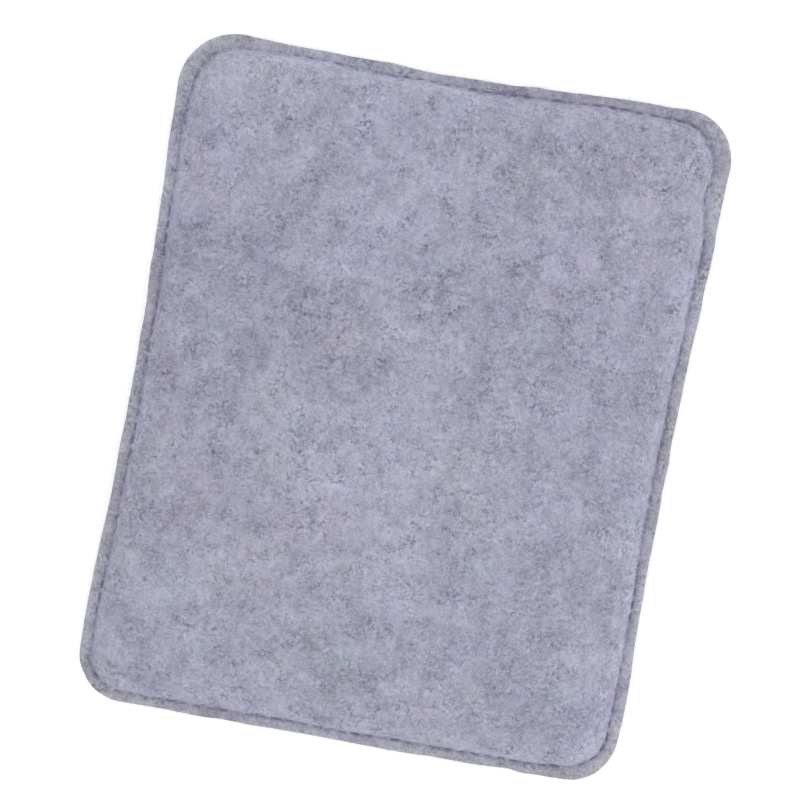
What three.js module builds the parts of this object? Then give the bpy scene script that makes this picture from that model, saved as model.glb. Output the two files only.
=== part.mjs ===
// Needle felting pad: two sheets of felt sewn together round a soft foam slab.
// Millimetres, +Z up, +Y along the pad. The origin is the middle of the flat underside.

import * as THREE from 'three';

// Cover, measured over the cut edges of the felt
const padLength = 250;
const padWidth = 200;
const cornerRadius = 18.5;
const sideDrawIn = 1.7;
const feltThickness = 2;

// Filling
const foamThickness = 11;
const crownRise = 2;
const shoulderRun = 7;

// Seam: the stitch line inside the cut edge, and how far the rim sags below half the pad's thickness
const seamInset = 3.9;
const seamSag = 0.3;
const stitchLength = 5;
const threadDiameter = 0.5;
const stitchDip = 0.3;
const stitchDipShare = 0.25;
const channelFlare = 0.25;

// Room between pieces that fit into one another
const clearance = 0.3;

// Finishes: grey-lavender felt, cream foam and grey thread
const feltFinish = { color: 0xa1a1b4, roughness: 0.95, metalness: 0 };
const foamFinish = { color: 0xe9e4d3, roughness: 0.9, metalness: 0 };
const threadFinish = { color: 0x77778a, roughness: 0.7, metalness: 0 };

// Facets
const cornerSteps = 6;
const longSideSteps = 9;
const shortSideSteps = 7;
const wallSteps = 4;
const crownSteps = 3;
const threadSides = 4;

// Sizes that follow from the ones above: the stitches press a channel into the felt that is as wide as the
// thread with room on each side, and so deep that the thread lies level with the felt
const threadRadius = threadDiameter / 2;
const channelFloorHalf = threadRadius + clearance;
const channelHalf = channelFloorHalf + channelFlare;
const channelDepth = clearance + stitchDip + threadDiameter;
const wallInset = seamInset + channelHalf;
const shoulderInset = wallInset + shoulderRun;
const shoulderHeight = 2 * feltThickness + 2 * clearance + foamThickness;
const seamHeight = shoulderHeight / 2 - seamSag;

// A closed outline at a given distance inside the cut edge: a rounded rectangle whose four sides are
// pulled in between their corners. Every outline has the same number of points, so outlines can be lofted.
// The corners are concentric across the rim and keep one radius inside the seam.
function outlineAt(inset, height) {
  const radius = cornerRadius - Math.min(inset, wallInset);
  const straightX = padWidth / 2 - inset - radius;
  const straightY = padLength / 2 - inset - radius;
  const sides = [
    { centre: [straightX, straightY], along: [-1, 0], half: straightX, steps: shortSideSteps },
    { centre: [-straightX, straightY], along: [0, -1], half: straightY, steps: longSideSteps },
    { centre: [-straightX, -straightY], along: [1, 0], half: straightX, steps: shortSideSteps },
    { centre: [straightX, -straightY], along: [0, 1], half: straightY, steps: longSideSteps },
  ];
  const points = [];
  sides.forEach(({ centre, along, half, steps }, quarter) => {
    for (let step = 0; step <= cornerSteps; step += 1) {
      const angle = (quarter + step / cornerSteps) * Math.PI / 2;
      const x = centre[0] + radius * Math.cos(angle);
      const y = centre[1] + radius * Math.sin(angle);
      points.push(new THREE.Vector3(x, y, height));
    }
    const start = points[points.length - 1];
    const outward = [along[1], -along[0]];
    for (let step = 1; step < steps; step += 1) {
      const share = step / steps;
      const pull = sideDrawIn * Math.sin(Math.PI * share) ** 2;
      const x = start.x + along[0] * 2 * half * share - outward[0] * pull;
      const y = start.y + along[1] * 2 * half * share - outward[1] * pull;
      points.push(new THREE.Vector3(x, y, height));
    }
  });
  return points;
}

// Faces between neighbouring rings of equal length
function bandFaces(rings, ringLength, closed) {
  const faces = [];
  const bandCount = closed ? rings : rings - 1;
  for (let ring = 0; ring < bandCount; ring += 1) {
    const here = ring * ringLength;
    const there = ((ring + 1) % rings) * ringLength;
    for (let point = 0; point < ringLength; point += 1) {
      const next = (point + 1) % ringLength;
      faces.push(here + point, there + point, there + next);
      faces.push(here + point, there + next, here + next);
    }
  }
  return faces;
}

function geometryOf(points, faces) {
  const geometry = new THREE.BufferGeometry().setFromPoints(points);
  geometry.setIndex(faces);
  geometry.computeVertexNormals();
  return geometry;
}

// A closed skin from a first centre point, out over a run of outlines and back to a last centre point
function loft(outlines, firstHeight, lastHeight) {
  const ringLength = outlines[0].length;
  const points = outlines.flat();
  const faces = bandFaces(outlines.length, ringLength, false);
  const lastRing = points.length - ringLength;
  const first = points.push(new THREE.Vector3(0, 0, firstHeight)) - 1;
  const last = points.push(new THREE.Vector3(0, 0, lastHeight)) - 1;
  for (let point = 0; point < ringLength; point += 1) {
    const next = (point + 1) % ringLength;
    faces.push(first, point, next);
    faces.push(last, lastRing + next, lastRing + point);
  }
  return geometryOf(points, faces);
}

// The rounded wall as a quarter ellipse, from upright at the seam to level at the shoulder
function wallOutlines(startInset, startHeight, rise) {
  const outlines = [];
  for (let step = 0; step <= wallSteps; step += 1) {
    const angle = step / wallSteps * Math.PI / 2;
    const inset = shoulderInset - (shoulderInset - startInset) * Math.cos(angle);
    outlines.push(outlineAt(inset, startHeight + rise * Math.sin(angle)));
  }
  return outlines;
}

// The crown as ever smaller copies of the shoulder, rising like a shallow dish turned over
function crownOutlines(height, rise) {
  const shoulder = outlineAt(shoulderInset, height);
  const outlines = [];
  for (let step = 1; step < crownSteps; step += 1) {
    const share = 1 - step / crownSteps;
    const lift = rise * (1 - share ** 2);
    outlines.push(shoulder.map(({ x, y, z }) => new THREE.Vector3(x * share, y * share, z + lift)));
  }
  return outlines;
}

// One cover sheet, described as the upper one: the outer face from its middle down the wall, over the
// sewn channel and the rim to the cut edge, then back along the inner face.
function panelOutlines(rise, crown) {
  const channelFloor = feltThickness - channelDepth;
  const outerWall = wallOutlines(wallInset, feltThickness, rise).reverse();
  const outerCrown = crown > 0 ? crownOutlines(rise + feltThickness, crown).reverse() : [];
  const rim = [
    outlineAt(seamInset + channelFloorHalf, channelFloor),
    outlineAt(seamInset - channelFloorHalf, channelFloor),
    outlineAt(seamInset - channelHalf, feltThickness),
    outlineAt(0, feltThickness),
    outlineAt(0, 0),
  ];
  const innerWall = wallOutlines(wallInset + feltThickness, 0, rise);
  const innerCrown = crown > 0 ? crownOutlines(rise, crown) : [];
  return [...outerCrown, ...outerWall, ...rim, ...innerWall, ...innerCrown];
}

function topPanelGeometry() {
  const rise = shoulderHeight - seamHeight - feltThickness;
  const outlines = panelOutlines(rise, crownRise);
  const geometry = loft(outlines, rise + feltThickness + crownRise, rise + crownRise);
  return geometry.translate(0, 0, seamHeight);
}

// The lower sheet is the same form turned over about the pad's length, with a flat middle to rest on
function bottomPanelGeometry() {
  const drop = seamHeight - feltThickness;
  const outlines = panelOutlines(drop, 0);
  const geometry = loft(outlines, drop + feltThickness, drop);
  return geometry.rotateY(Math.PI).translate(0, 0, seamHeight);
}

// The slab, squeezed round at its edges by the cover and crowned with it
function foamGeometry() {
  const startInset = wallInset + feltThickness + clearance;
  const riseAbove = shoulderHeight - seamHeight - feltThickness - clearance;
  const dropBelow = seamHeight - feltThickness - clearance;
  const upper = wallOutlines(startInset, 0, riseAbove).reverse();
  const lower = wallOutlines(startInset, 0, -dropBelow).slice(1);
  const crown = crownOutlines(riseAbove, crownRise).reverse();
  const geometry = loft([...crown, ...upper, ...lower], riseAbove + crownRise, -dropBelow);
  return geometry.translate(0, 0, seamHeight);
}

// One seam thread: an unbroken closed loop in the sewn channel that dips at every needle hole and lies
// straight between them
function threadGeometry() {
  const seam = new THREE.CatmullRomCurve3(outlineAt(seamInset, 0), true);
  const stitchCount = Math.round(seam.getLength() / stitchLength);
  const dipHeight = feltThickness - channelDepth + clearance + threadRadius;
  const shares = [0, stitchDipShare, 1 - stitchDipShare];
  const points = [];
  for (let stitch = 0; stitch < stitchCount; stitch += 1) {
    for (const share of shares) {
      const place = (stitch + share) / stitchCount;
      const centre = seam.getPointAt(place);
      const heading = seam.getTangentAt(place);
      const outward = new THREE.Vector3(heading.y, -heading.x, 0).normalize();
      centre.z = share === 0 ? dipHeight : dipHeight + stitchDip;
      for (let side = 0; side < threadSides; side += 1) {
        const angle = side / threadSides * Math.PI * 2;
        const point = centre.clone().addScaledVector(outward, threadRadius * Math.cos(angle));
        point.z += threadRadius * Math.sin(angle);
        points.push(point);
      }
    }
  }
  const faces = bandFaces(stitchCount * shares.length, threadSides, true);
  return geometryOf(points, faces);
}

function needleThreadGeometry() {
  return threadGeometry().translate(0, 0, seamHeight);
}

function bobbinThreadGeometry() {
  return threadGeometry().rotateY(Math.PI).translate(0, 0, seamHeight);
}

function piece(name, geometry, finish) {
  const mesh = new THREE.Mesh(geometry, new THREE.MeshStandardMaterial(finish));
  mesh.name = name;
  return mesh;
}

const pad = new THREE.Group();
pad.name = 'needle_felting_pad';
pad.add(
  piece('top_felt_panel', topPanelGeometry(), feltFinish),
  piece('bottom_felt_panel', bottomPanelGeometry(), feltFinish),
  piece('foam_core', foamGeometry(), foamFinish),
  piece('needle_thread', needleThreadGeometry(), threadFinish),
  piece('bobbin_thread', bobbinThreadGeometry(), threadFinish),
);

export default pad;
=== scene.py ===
"""Needle felting pad: two felt sheets sewn round a foam slab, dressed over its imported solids."""

import math

import bpy
import numpy as np
from bpy.props import FloatProperty, FloatVectorProperty, IntProperty, PointerProperty
from mathutils import Matrix, Vector


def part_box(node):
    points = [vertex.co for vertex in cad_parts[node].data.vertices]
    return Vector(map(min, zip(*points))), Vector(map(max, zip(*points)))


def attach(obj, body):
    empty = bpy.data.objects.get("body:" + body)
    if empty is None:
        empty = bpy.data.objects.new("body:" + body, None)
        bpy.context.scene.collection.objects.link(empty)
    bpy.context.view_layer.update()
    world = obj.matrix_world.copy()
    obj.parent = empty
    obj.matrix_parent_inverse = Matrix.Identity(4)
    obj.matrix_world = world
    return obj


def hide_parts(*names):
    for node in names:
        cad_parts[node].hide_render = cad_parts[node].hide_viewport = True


bl_info = {
    "name": "Needle Felting Pad",
    "version": (1, 0, 0),
    "blender": (4, 5, 0),
    "location": "View3D > Sidebar > Felting Pad",
    "description": "Builds a sewn felt pad with its foam, seam threads and loose fibres",
    "category": "Object",
}

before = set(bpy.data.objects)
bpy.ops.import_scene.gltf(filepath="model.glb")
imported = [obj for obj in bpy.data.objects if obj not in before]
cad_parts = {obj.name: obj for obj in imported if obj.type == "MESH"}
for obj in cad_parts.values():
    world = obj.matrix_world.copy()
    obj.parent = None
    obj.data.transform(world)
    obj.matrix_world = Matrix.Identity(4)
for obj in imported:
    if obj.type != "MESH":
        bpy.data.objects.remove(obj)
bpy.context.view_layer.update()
TOP_LOW, TOP_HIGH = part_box("top_felt_panel")
SEAM_HEIGHT = TOP_LOW.z
SEAM_LIFT = np.array([0, 0, SEAM_HEIGHT])
BODY = "root"
MM = 0.001

# Steps round the outline: one corner, one short side and one long side, in the finest rings
CORNER_STEPS = 32
SHORT_STEPS = 252
LONG_STEPS = 328
SIDE_STEPS = (SHORT_STEPS, LONG_STEPS, SHORT_STEPS, LONG_STEPS)
CORNER_SIGNS = np.array([(1, 1), (-1, 1), (-1, -1), (1, -1)], float)

# Rings with every second point left out, and with every second of those left out again
HALVED = 2
COARSE = 4

# Steps of the level middle of a sheet, which meet the coarse rings point for point
MIDDLE_COLUMNS = (SHORT_STEPS + CORNER_STEPS) // COARSE
MIDDLE_ROWS = (LONG_STEPS + CORNER_STEPS) // COARSE


# Settings


def length_setting(name, description, *sizes):
    """A length that a user may change, or one for each corner or side, given in millimetres."""
    values = tuple(size * MM for size in sizes)
    if len(values) == 1:
        return FloatProperty(name=name, description=description, default=values[0], unit="LENGTH")
    return FloatVectorProperty(
        name=name, description=description, size=len(values), default=values, unit="LENGTH"
    )


def colour_setting(name, description, *rgb):
    """A colour that a user may change."""
    return FloatVectorProperty(
        name=name, description=description, subtype="COLOR", size=4, default=(*rgb, 1)
    )


class CoverShape(bpy.types.PropertyGroup):
    """The felt cover.

    Lists of corners run north-east, north-west, south-west, south-east.
    Lists of sides run north, west, south, east."""

    width: length_setting("Width", "Across the cut edges", (TOP_HIGH.x - TOP_LOW.x) / MM)
    length: length_setting("Length", "Along the cut edges", (TOP_HIGH.y - TOP_LOW.y) / MM)
    felt: length_setting("Felt", "Thickness of one sheet", 2.0)
    corner_radius: length_setting(
        "Corner radius", "Radius of each corner at the cut edge", 18.9, 20.2, 18.2, 18.2
    )
    corner_east: length_setting(
        "Corner east", "How far each corner sits east of a true rectangle", 0.7, 0.4, -1.6, 0.4
    )
    corner_north: length_setting(
        "Corner north", "How far each corner sits north of a true rectangle", 0.5, -1.7, 0.2, 1.2
    )
    draw_in: length_setting(
        "Draw-in", "How far the middle of each side is pulled in by the filling", 2.0, 2.1, 0.0, 1.7
    )
    snip: length_setting("Snip", "Length of one cut of the scissors along the edge", 13.0)
    snip_stray: length_setting("Snip stray", "How far the cuts stray from the outline", 0.2)
    rim_curl: length_setting("Rim curl", "How far the loose rim curls up and down", 0.3)
    rim_droop: length_setting(
        "Rim droop", "How far the loose rim hangs along each side: below 0 it stands up", -0.7, 0.65, 0.0, 0.4
    )
    shoulder_run: length_setting(
        "Shoulder run", "From the seam in to where each side's wall becomes level", 7.5, 10.0, 10.5, 12.0
    )
    wall_start: FloatProperty(
        name="Wall start",
        description="How far round its curve the wall starts: none is upright",
        default=math.radians(10),
        unit="ROTATION",
    )
    crown: length_setting("Crown", "Extra height in the middle of the top", 2.0)
    west_sag: length_setting("West sag", "How far the west side of the top has settled", 0.8)
    sag_reach: length_setting("Sag reach", "How far in from the west edge the sag reaches", 42.0)
    middle_inset: length_setting(
        "Middle inset", "From the cut edge in to the level middle of the sheet", 26.0
    )


class SeamShape(bpy.types.PropertyGroup):
    """The lockstitch seam. Its lists run as the cover's do."""

    inset: length_setting("Inset", "Stitch line inside the cut edge along each side", 3.55, 4.1, 3.7, 3.9)
    corner_inset: length_setting(
        "Corner inset", "How much further in the stitch line runs at each corner", 2.4, 1.7, 0.0, 1.3
    )
    corner_reach: length_setting(
        "Corner reach", "How far from the middle of a corner its extra inset reaches", 22.0
    )
    kink: length_setting(
        "Kink", "How far in the stitch line swerves where the sewing started, below the first corner", 2.4
    )
    openness: FloatVectorProperty(
        name="Openness",
        description="How openly the stitches of each side lie: 0 is buried in the felt",
        size=4,
        min=0,
        max=1,
        default=(0.58, 0.4, 0.5, 0.2),
    )
    corner_openness: FloatVectorProperty(
        name="Corner openness",
        description="How much more openly the stitches lie at each corner than along its sides",
        size=4,
        min=-1,
        max=1,
        default=(0.25, -0.35, 0.05, 0.5),
    )
    openness_reach: length_setting(
        "Openness reach", "How far along the seam a corner's openness reaches", 50.0
    )
    stitch: length_setting("Stitch", "Length of one stitch", 5.0)
    thread: length_setting("Thread", "Thread diameter", 0.5)
    groove: length_setting("Groove", "How deep a stitch presses into the felt", 0.9)
    groove_half: length_setting(
        "Groove half width", "From the stitch line to where the groove has faded", 0.6
    )
    wander: length_setting("Wander", "How unevenly the hand-guided stitch line follows the edge", 0.16)


class FeltLook(bpy.types.PropertyGroup):
    """Colours of the felt, foam and thread, as seen in even light, and how many fibres have come loose."""

    felt: colour_setting("Felt", "Main grey of the felt", 0.3815, 0.3847, 0.4942)
    dark_fibre: colour_setting("Dark fibre", "Dark fibres in the mix", 0.075, 0.075, 0.128)
    pale_fibre: colour_setting("Pale fibre", "Pale fibres in the mix", 0.60, 0.60, 0.72)
    foam: colour_setting("Foam", "Cream of the foam slab", 0.81, 0.77, 0.65)
    thread: colour_setting("Thread", "Grey of the seam threads", 0.255, 0.255, 0.345)
    fibre_count: IntProperty(
        name="Loose fibres", description="Loose fibres that lie on the upper face", default=1500, min=0
    )
    rim_fibre_count: IntProperty(
        name="Rim fibres", description="Loose fibres along the cut edges", default=1100, min=0
    )


class PadSettings(bpy.types.PropertyGroup):
    """Everything that a user would change on the pad."""

    cover: PointerProperty(type=CoverShape)
    seam: PointerProperty(type=SeamShape)
    look: PointerProperty(type=FeltLook)


# Outlines and rings


def outline(cover):
    """Cut edge in plan, the way out from it, and the way in that keeps the corners round.

    Each corner is an arc about its own centre over its quarter turn. From its end a straight side runs to the
    next arc, pulled in by draw_in * sin(pi * share) ** 2. The way in is the diagonal of the corner on an arc,
    and goes evenly from one diagonal to the next along a side."""
    half = np.array([cover.width, cover.length]) / 2
    radius = np.array(cover.corner_radius)
    shift = np.stack([cover.corner_east, cover.corner_north], axis=1)
    centres = CORNER_SIGNS * half + shift - CORNER_SIGNS * radius[:, None]
    edge, out, inward = [], [], []
    for corner, steps in enumerate(SIDE_STEPS):
        after = (corner + 1) % len(SIDE_STEPS)
        turn = (corner + np.arange(CORNER_STEPS) / CORNER_STEPS) * math.pi / 2
        way = np.stack([np.cos(turn), np.sin(turn)], axis=1)
        edge.append(centres[corner] + radius[corner] * way)
        out.append(way)
        inward.append(np.repeat(CORNER_SIGNS[corner : corner + 1], CORNER_STEPS, axis=0))
        side_turn = (corner + 1) * math.pi / 2
        side_way = np.array([math.cos(side_turn), math.sin(side_turn)])
        start = centres[corner] + radius[corner] * side_way
        end = centres[after] + radius[after] * side_way
        share = (np.arange(steps) / steps)[:, None]
        pull = cover.draw_in[corner] * np.sin(math.pi * share) ** 2
        edge.append(start + share * (end - start) - pull * side_way)
        out.append(np.repeat(side_way[None], steps, axis=0))
        inward.append(CORNER_SIGNS[corner] + share * (CORNER_SIGNS[after] - CORNER_SIGNS[corner]))
    return np.concatenate(edge), np.concatenate(out), np.concatenate(inward)


def per_side(values):
    """One value for each point of the outline: a side's own along it, and even change round the corners."""
    share = np.arange(CORNER_STEPS) / CORNER_STEPS
    runs = []
    for side, steps in enumerate(SIDE_STEPS):
        runs.append(values[side - 1] + share * (values[side] - values[side - 1]))
        runs.append(np.full(steps, values[side]))
    return np.concatenate(runs)


def arc_length(points):
    """Distance along a closed run of points, with the full length last."""
    steps = np.linalg.norm(np.roll(points, -1, axis=0) - points, axis=1)
    return np.concatenate([[0], np.cumsum(steps)])


def loop_waves(along, total, count_range, amount, seed, waves=14):
    """Unevenness along a closed line: seeded cosine waves of equal strength that close on themselves."""
    draw = np.random.default_rng(seed)
    counts = draw.integers(count_range[0], count_range[1], waves)
    phases = draw.uniform(0, 2 * math.pi, waves)
    angle = 2 * math.pi * np.outer(along / total, counts) + phases
    return amount * np.cos(angle).sum(axis=1) / math.sqrt(waves / 2)


# Where in its share of the edge a snip may end, and the most that one strays, in ordinary strays
SNIP_ENDS = (0.1, 0.9)
MOST_STRAY = 2


def scissor_cuts(along, total, snip, stray, seed):
    """Unevenness of an edge cut by hand: straight snips of uneven length that meet at seeded stray points."""
    draw = np.random.default_rng(seed)
    count = round(total / snip)
    ends = (np.arange(count) + draw.uniform(*SNIP_ENDS, count)) * total / count
    strays = stray * np.clip(draw.normal(size=count), -MOST_STRAY, MOST_STRAY)
    return np.interp(along, ends, strays, period=total)


def hump(along, total, spot, reach):
    """A bell on a closed line: exp(-(distance / reach) ** 2), with the distance from a spot the short way."""
    distance = (along - spot + total / 2) % total - total / 2
    return np.exp(-((distance / reach) ** 2))


def wave_field(points, wavelengths, seed, waves=60):
    """Smooth unevenness in space, about -1 to 1: seeded plane cosine waves in every direction."""
    draw = np.random.default_rng(seed)
    ways = unit(draw.normal(size=(waves, 3)))
    low, high = np.log(wavelengths)
    numbers = 2 * math.pi / np.exp(draw.uniform(low, high, waves))
    phases = draw.uniform(0, 2 * math.pi, waves)
    return np.cos(points @ (ways * numbers[:, None]).T + phases).sum(axis=1) / math.sqrt(waves)


def unit(vectors):
    """Vectors turned as the given ones, each of length 1."""
    return vectors / np.linalg.norm(vectors, axis=-1, keepdims=True)


def at_height(plan, height):
    """Points in plan with a height, one number or one for each point."""
    return np.concatenate([plan, np.broadcast_to(height, plan.shape[:-1])[..., None]], axis=-1)


# How thin the stitches squeeze the felt, and how nearly the wall keeps the round of the seam's corners
RIM_SQUEEZE = 0.8
CORNER_KEEPING = 0.7

# Where the stitch line has its kink
KINK_BELOW_CORNER = 26 * MM
KINK_REACH = 8 * MM

# How narrow a needle hole's pull on the felt is: a power of the cosine along the stitches
HOLE_NARROWNESS = 4

# Fewest and most waves round the pad, in the rim's curl, the seam's slow and quick wander and its openness
CURL_WAVES = (8, 26)
SLOW_WAVES = (6, 30)
QUICK_WAVES = (50, 150)
OPENNESS_WAVES = (8, 36)

# How much smaller the quick wander is, and how much stretches and single stitches vary in openness
SLOW_TO_QUICK = 3
OPENNESS_SPREAD = 0.25


class PadPlan:
    """The pad seen from above: its outline, its stitch line and the rings that follow them."""

    def __init__(self, cover, seam):
        self.cover = cover
        self.seam = seam
        self.edge, self.out, self.inward = outline(cover)
        *along, total = arc_length(self.edge)
        along = np.array(along)
        self.strays = scissor_cuts(along, total, cover.snip, cover.snip_stray, seed=3)
        self.curl = loop_waves(along, total, CURL_WAVES, cover.rim_curl, seed=6)
        self.curl -= per_side(list(cover.rim_droop))
        self.seam_inset = per_side(list(seam.inset)) + self.seam_drift(along, total)
        self.stitch_line = self.edge - self.seam_inset[:, None] * self.out
        along = arc_length(self.stitch_line)
        self.stitch_count = round(along[-1] / seam.stitch)
        self.stitch_phase = along[:-1] / along[-1] * self.stitch_count
        self.hole_near = np.cos(math.pi * self.stitch_phase) ** HOLE_NARROWNESS
        self.openness = self.stitch_openness(along)
        self.run = per_side(list(cover.shoulder_run))

    def seam_drift(self, along, total):
        """How much further in the stitch line runs than its side says: by corner, by kink and by hand."""
        seam = self.seam
        drift = loop_waves(along, total, SLOW_WAVES, seam.wander, seed=4)
        drift += loop_waves(along, total, QUICK_WAVES, seam.wander / SLOW_TO_QUICK, seed=7)
        drift += self.by_corner(along, total, seam.corner_inset, seam.corner_reach)
        kink_at = along[CORNER_STEPS // 2] - KINK_BELOW_CORNER
        return drift + seam.kink * hump(along, total, kink_at, KINK_REACH)

    @staticmethod
    def by_corner(along, total, values, reach):
        """The values of the four corners, each fading along the seam."""
        starts = np.cumsum([0, *SIDE_STEPS[:-1]]) + CORNER_STEPS * np.arange(len(SIDE_STEPS))
        middles = along[starts + CORNER_STEPS // 2]
        humps = [hump(along, total, middle, reach) for middle in middles]
        return np.array(values) @ np.array(humps)

    def stitch_openness(self, along):
        """How openly each stitch lies, 0 to 1: as its side or corner, with stretches of the seam and single
        stitches more open or more buried."""
        seam = self.seam
        corners = self.by_corner(along[:-1], along[-1], seam.corner_openness, seam.openness_reach)
        by_place = per_side(list(seam.openness)) + corners
        stitches = np.arange(self.stitch_count)
        stretches = loop_waves(stitches, self.stitch_count, OPENNESS_WAVES, OPENNESS_SPREAD, seed=8)
        single = OPENNESS_SPREAD * np.random.default_rng(5).normal(size=self.stitch_count)
        by_stitch = np.interp(stitches + 0.5, self.stitch_phase, by_place)
        return np.clip(by_stitch + stretches + single, 0, 1)

    def open_at(self, phase):
        """How openly the seam lies at places counted in stitches along it."""
        return self.openness[np.floor(phase).astype(int) % self.stitch_count]

    def rim(self, share):
        """A ring across the rim: share 0 is the cut edge and 1 where the groove starts."""
        reach = self.strays * (1 - share) - (self.seam_inset - self.seam.groove_half) * share
        return self.edge + reach[:, None] * self.out

    def rim_level(self, past):
        """Height of the rim's face over the seam plane, at a distance past the stitch line.

        The felt is full at the cut edge and thins by the fourth power of the way to the stitches."""
        share = np.clip(1 + past / self.seam_inset, 0, 1)
        return self.cover.felt * (1 - (1 - RIM_SQUEEZE) * share**4)

    def body(self, past):
        """A ring inside the stitch line: past is the distance in from it, a number or one for each point.

        The way in is mostly the corner diagonal, so that the corners stay nearly as round as the seam."""
        way = self.out + CORNER_KEEPING * (self.inward - self.out)
        return self.stitch_line - np.asarray(past)[..., None] * way

    def middle_grid(self):
        """The level middle in plan: rows from north to south, columns from west to east."""
        half_x = self.cover.width / 2 - self.cover.middle_inset
        half_y = self.cover.length / 2 - self.cover.middle_inset
        x = np.linspace(-half_x, half_x, MIDDLE_COLUMNS + 1)
        y = np.linspace(half_y, -half_y, MIDDLE_ROWS + 1)
        return np.stack(np.meshgrid(x, y), axis=-1)

    def middle_edge(self):
        """The border of the level middle, point for point with a coarse ring."""
        return around(self.middle_grid())

    def crown(self, plan):
        """Height of the top over its walls: a parabola across times a parabola along, less the west side's
        sag, which fades smoothly inwards."""
        cover = self.cover
        half_x = cover.width / 2 - np.max(cover.shoulder_run)
        half_y = cover.length / 2 - np.max(cover.shoulder_run)
        across = np.clip(1 - (plan[..., 0] / half_x) ** 2, 0, 1)
        along = np.clip(1 - (plan[..., 1] / half_y) ** 2, 0, 1)
        inward = np.clip((plan[..., 0] + cover.width / 2) / cover.sag_reach, 0, 1)
        return cover.crown * across * along - cover.west_sag * (1 - inward * inward * (3 - 2 * inward))

    @staticmethod
    def level(plan):
        """Height of the base over its walls: none."""
        return np.zeros(plan.shape[:-1])


# Skins made of rings


def around(grid):
    """The border of a grid of rows and columns, in the order of a coarse ring."""
    loop = np.concatenate([grid[0, :0:-1], grid[:-1, 0], grid[-1, :-1], grid[:0:-1, -1]])
    return np.roll(loop, CORNER_STEPS // COARSE // 2, axis=0)


class Skin:
    """Collects rings of points and the faces between them."""

    def __init__(self):
        self.points = []
        self.values = []
        self.count = 0
        self.quads = []
        self.triangles = []

    def add(self, points, value=0.0):
        """Takes in points, with a value for their material to read, and gives their numbers."""
        points = np.asarray(points, float).reshape(-1, 3)
        numbers = np.arange(self.count, self.count + len(points))
        self.points.append(points)
        self.values.append(np.broadcast_to(value, len(points)))
        self.count += len(points)
        return numbers

    def bridge(self, outer, inner, flip):
        """Faces from a ring to the next one in: quads between equal rings, and three triangles for each step
        of the inner ring where it has half as many points."""
        ahead = np.roll(outer, -1)
        after = np.roll(inner, -1)
        if len(outer) == len(inner):
            self.quads.append(self.turned(np.stack([outer, ahead, after, inner], axis=1), flip))
            return
        start, middle, end = outer[::2], outer[1::2], ahead[1::2]
        for corner in ((start, middle, inner), (middle, after, inner), (middle, end, after)):
            self.triangles.append(self.turned(np.stack(corner, axis=1), flip))

    def join(self, rings, flip=False):
        """Faces between each ring of a run and the next."""
        for outer, inner in zip(rings, rings[1:], strict=False):
            self.bridge(outer, inner, flip)

    def fill(self, ring, grid, flip=False):
        """Faces over a grid of points whose border is a coarse ring that is already there."""
        rows, columns = grid.shape[:2]
        numbers = np.zeros((rows, columns), int)
        numbers[1:-1, 1:-1] = self.add(grid[1:-1, 1:-1]).reshape(rows - 2, columns - 2)
        border = around(np.arange(rows * columns).reshape(rows, columns))
        numbers.flat[border] = ring
        below, above = numbers[1:], numbers[:-1]
        quads = np.stack([below[:, :-1], below[:, 1:], above[:, 1:], above[:, :-1]], axis=-1)
        self.quads.append(self.turned(quads.reshape(-1, 4), flip))
        return numbers

    @staticmethod
    def turned(faces, flip):
        """The faces, turned to their other side if that is asked for."""
        return faces[:, ::-1] if flip else faces

    def mesh(self, name, value_name=None):
        """A mesh of everything collected, shaded smooth, with its values under a name if one is given."""
        mesh = bpy.data.meshes.new(name)
        faces = [face for group in (*self.quads, *self.triangles) for face in group.tolist()]
        mesh.from_pydata(np.concatenate(self.points), [], faces)
        mesh.polygons.foreach_set("use_smooth", np.ones(len(faces), bool))
        if value_name:
            layer = mesh.attributes.new(value_name, "FLOAT", "POINT")
            layer.data.foreach_set("value", np.concatenate(self.values))
        mesh.update()
        return mesh


def read(items, name, width=3):
    """What every point or face of a mesh has under a name: rows of a width."""
    values = np.empty(len(items) * width)
    items.foreach_get(name, values)
    return values.reshape(-1, width)


def new_object(name, data):
    """An object in the scene, at the origin."""
    made = bpy.data.objects.new(name, data)
    bpy.context.scene.collection.objects.link(made)
    return made


def place(name, mesh, material, slot):
    """A finished piece that rides on the pad, with its material; its slot is not used."""
    piece = new_object(name, mesh)
    mesh.materials.append(material)
    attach(piece, BODY)
    return piece


# Cover sheets

# Rings of a sheet: across its groove, up its wall and on to its middle, and the same along its inner face
GROOVE_RINGS = 9
WALL_RINGS = 19
ACROSS_RINGS = 5
INNER_WALL_RINGS = 7
INNER_ACROSS_RINGS = 3

# Rings of the wall that keep all their points, and those that keep at least half
FULL_RINGS = 6
HALVED_RINGS = 14

# The rim from its cut edge to the groove: shares of the way in, and of the height that is reached there
RIM_SHARES = (0, 0, 0, 0.02, 0.06, 0.12, 0.22, 0.34, 0.46, 0.58, 0.69, 0.79, 0.88)
RIM_ROUNDING = (0.0, 0.45, 0.78, 0.93, 0.985, 1, 1, 1, 1, 1, 1, 1, 1)

# How much the groove's outer side still belongs to the rim
GROOVE_RIM = 0.5

# Shares of the groove: its depth at a buried stitch, how far a needle hole closes it, and its bell's width
BURIED_GROOVE = 0.3
HOLE_CLOSING = 0.9
GROOVE_BELL = 0.55

# How far the wall is drawn in at a needle hole, and the dents and swellings of the felt
HOLE_PULL = 0.3 * MM
RELIEF = 0.1 * MM
RELIEF_WAVES = (6 * MM, 34 * MM)

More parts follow.
